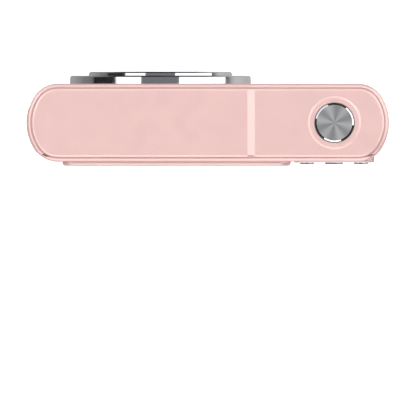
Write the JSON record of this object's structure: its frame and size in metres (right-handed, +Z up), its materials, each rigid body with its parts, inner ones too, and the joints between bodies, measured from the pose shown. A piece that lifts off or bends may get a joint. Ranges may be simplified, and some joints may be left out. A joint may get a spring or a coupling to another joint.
{
  "type": "compact digital camera",
  "caption": "Slim pocket digital camera with a retracting zoom lens in a stepped ring, a raised rear screen, rear keys, a top shutter button and a side battery door.",
  "frame": {"origin": "centre of the tripod socket's mouth, on the camera's base", "axes": "+Z up, from the base to the shutter button; -Y the way the lens looks, +Y towards the screen's user; +X towards the viewer's left hand, along the camera's length"},
  "size_m": [0.1061, 0.0275, 0.062],
  "materials": {
    "pink_shell": "satin pearl pink lacquer",
    "pink_deck": "satin pearl pink lacquer",
    "pink_base": "satin pearl pink lacquer",
    "pink_panel": "satin pearl pink lacquer",
    "nickel_insert": "turned and nickel plated, with a quarter-inch thread",
    "screen_glass": "black-backed clear window, hard coated",
    "lcd_layers": "display glass, switched off",
    "white_film": "white diffuser film",
    "key_chrome": "satin chrome with bright chamfer",
    "clear_lamp": "clear light pipe",
    "circuit_board": "green solder mask",
    "spun_steel": "spun face with a mirror-cut bevel",
    "white_plastic": "natural white acetal",
    "spring_wire": "drawn music wire",
    "lens_chrome": "mirror chrome",
    "black_plastic": "fine moulded texture",
    "barrel_metal": "anodised, finely turned",
    "blade_black": "matt black lacquer",
    "coated_glass": "multi-coated optical glass",
    "sensor_glass": "image sensor behind its filter",
    "flash_lens": "clear moulded acrylic with fine prisms",
    "mirror_metal": "bright rolled reflector",
    "black_sleeve": "shrink sleeve",
    "can_metal": "pressed tin-plated steel",
    "polished_steel": "polished and plated",
    "chip_epoxy": "moulded epoxy",
    "battery_wrap": "moulded pack with a printed-film face",
    "gold_contact": "gold-plated spring contacts in a black block",
    "card_plastic": "moulded card",
    "orange_plastic": "coloured acetal"
  },
  "bodies": {
    "camera_body": {"front_cover": "pink_shell", "rear_cover": "pink_shell", "top_cover": "pink_deck", "bottom_cover": "pink_base", "tripod_collar": "pink_base", "tripod_socket": "nickel_insert", "screen_bezel": "pink_shell", "key_panel": "pink_panel", "screen_window": "screen_glass", "lcd_panel": "lcd_layers", "lcd_backlight": "white_film", "status_light": "clear_lamp", "key_board": "circuit_board", "shutter_spring": "spring_wire", "shutter_switch": "circuit_board", "lens_base_ring": "lens_chrome", "lens_front_ring": "lens_chrome", "lens_tube": "black_plastic", "sensor_board": "circuit_board", "image_sensor": "sensor_glass", "flash_window": "flash_lens", "flash_reflector": "mirror_metal", "flash_tube": "flash_lens", "flash_capacitor": "black_sleeve", "microphone": "can_metal", "speaker": "black_plastic", "strap_bar": "polished_steel", "chassis": "black_plastic", "case_screws": "polished_steel", "board_screws": "polished_steel", "main_board": "circuit_board", "board_chips": "chip_epoxy", "usb_port": "polished_steel", "battery": "battery_wrap", "battery_contacts": "gold_contact", "card_socket": "can_metal", "memory_card": "card_plastic", "door_pin": "polished_steel"},
    "outer_barrel": {"outer_barrel": "barrel_metal"},
    "inner_barrel": {"inner_barrel": "barrel_metal", "lens_cell": "black_plastic", "front_element": "coated_glass", "rear_cell": "black_plastic", "rear_element": "coated_glass"},
    "upper_blade": {"upper_blade": "blade_black"},
    "lower_blade": {"lower_blade": "blade_black"},
    "shutter_button": {"shutter_button": "spun_steel", "shutter_plunger": "white_plastic"},
    "power_key": {"power_key": "key_chrome"},
    "mode_key": {"mode_key": "key_chrome"},
    "up_key": {"up_key": "key_chrome"},
    "down_key": {"down_key": "key_chrome"},
    "left_key": {"left_key": "key_chrome"},
    "right_key": {"right_key": "key_chrome"},
    "ok_key": {"ok_key": "key_chrome"},
    "menu_key": {"menu_key": "key_chrome"},
    "delete_key": {"delete_key": "key_chrome"},
    "zoom_rocker": {"zoom_rocker": "key_chrome"},
    "side_door": {"side_door": "pink_shell"},
    "battery_latch": {"battery_latch": "orange_plastic"}
  },
  "joints": [
    {"name": "lens_extend", "type": "slide", "parent": "camera_body", "child": "outer_barrel", "axis": [0, -1, 0], "range_m": [0, 0.0075]},
    {"name": "inner_extend", "type": "slide", "parent": "outer_barrel", "child": "inner_barrel", "axis": [0, -1, 0], "range_m": [0, 0.0065]},
    {"name": "upper_blade_open", "type": "hinge", "parent": "inner_barrel", "child": "upper_blade", "pos_m": [0.0242, -0.0128, 0.0326], "axis": [0, 1, 0], "range_deg": [0, 38]},
    {"name": "lower_blade_open", "type": "hinge", "parent": "inner_barrel", "child": "lower_blade", "pos_m": [0.0242, -0.0128, 0.0294], "axis": [0, -1, 0], "range_deg": [0, 38]},
    {"name": "shutter_press", "type": "slide", "parent": "camera_body", "child": "shutter_button", "axis": [0, 0, -1], "range_m": [0, 0.0009], "stiffness_N_per_m": 1200, "springref_m": -0.0005, "deforming": ["shutter_spring"]},
    {"name": "power_key_press", "type": "slide", "parent": "camera_body", "child": "power_key", "axis": [0, -1, 0], "range_m": [0, 0.0003], "stiffness_N_per_m": 2500, "springref_m": -0.0001},
    {"name": "mode_key_press", "type": "slide", "parent": "camera_body", "child": "mode_key", "axis": [0, -1, 0], "range_m": [0, 0.0003], "stiffness_N_per_m": 2500, "springref_m": -0.0001},
    {"name": "up_key_press", "type": "slide", "parent": "camera_body", "child": "up_key", "axis": [0, -1, 0], "range_m": [0, 0.0003], "stiffness_N_per_m": 2500, "springref_m": -0.0001},
    {"name": "down_key_press", "type": "slide", "parent": "camera_body", "child": "down_key", "axis": [0, -1, 0], "range_m": [0, 0.0003], "stiffness_N_per_m": 2500, "springref_m": -0.0001},
    {"name": "left_key_press", "type": "slide", "parent": "camera_body", "child": "left_key", "axis": [0, -1, 0], "range_m": [0, 0.0003], "stiffness_N_per_m": 2500, "springref_m": -0.0001},
    {"name": "right_key_press", "type": "slide", "parent": "camera_body", "child": "right_key", "axis": [0, -1, 0], "range_m": [0, 0.0003], "stiffness_N_per_m": 2500, "springref_m": -0.0001},
    {"name": "ok_key_press", "type": "slide", "parent": "camera_body", "child": "ok_key", "axis": [0, -1, 0], "range_m": [0, 0.0003], "stiffness_N_per_m": 2500, "springref_m": -0.0001},
    {"name": "menu_key_press", "type": "slide", "parent": "camera_body", "child": "menu_key", "axis": [0, -1, 0], "range_m": [0, 0.0003], "stiffness_N_per_m": 2500, "springref_m": -0.0001},
    {"name": "delete_key_press", "type": "slide", "parent": "camera_body", "child": "delete_key", "axis": [0, -1, 0], "range_m": [0, 0.0003], "stiffness_N_per_m": 2500, "springref_m": -0.0001},
    {"name": "zoom_rock", "type": "hinge", "parent": "camera_body", "child": "zoom_rocker", "pos_m": [-0.0448, 0.0086, 0.0459], "axis": [1, 0, 0], "range_deg": [-3, 3], "stiffness_Nm_per_rad": 0.05},
    {"name": "door_open", "type": "hinge", "parent": "camera_body", "child": "side_door", "pos_m": [0.0496, 0.00804, 0.031], "axis": [0, 0, 1], "range_deg": [0, 95]},
    {"name": "latch_slide", "type": "slide", "parent": "camera_body", "child": "battery_latch", "axis": [0, -1, 0], "range_m": [0, 0.0013], "stiffness_N_per_m": 300, "springref_m": -0.0005}
  ],
  "couplings": [
    {"joint": "inner_extend", "follows": "lens_extend", "ratio": 0.86667},
    {"joint": "upper_blade_open", "follows": "lens_extend", "rad_per_m": 88.42},
    {"joint": "lower_blade_open", "follows": "lens_extend", "rad_per_m": 88.42}
  ]
}
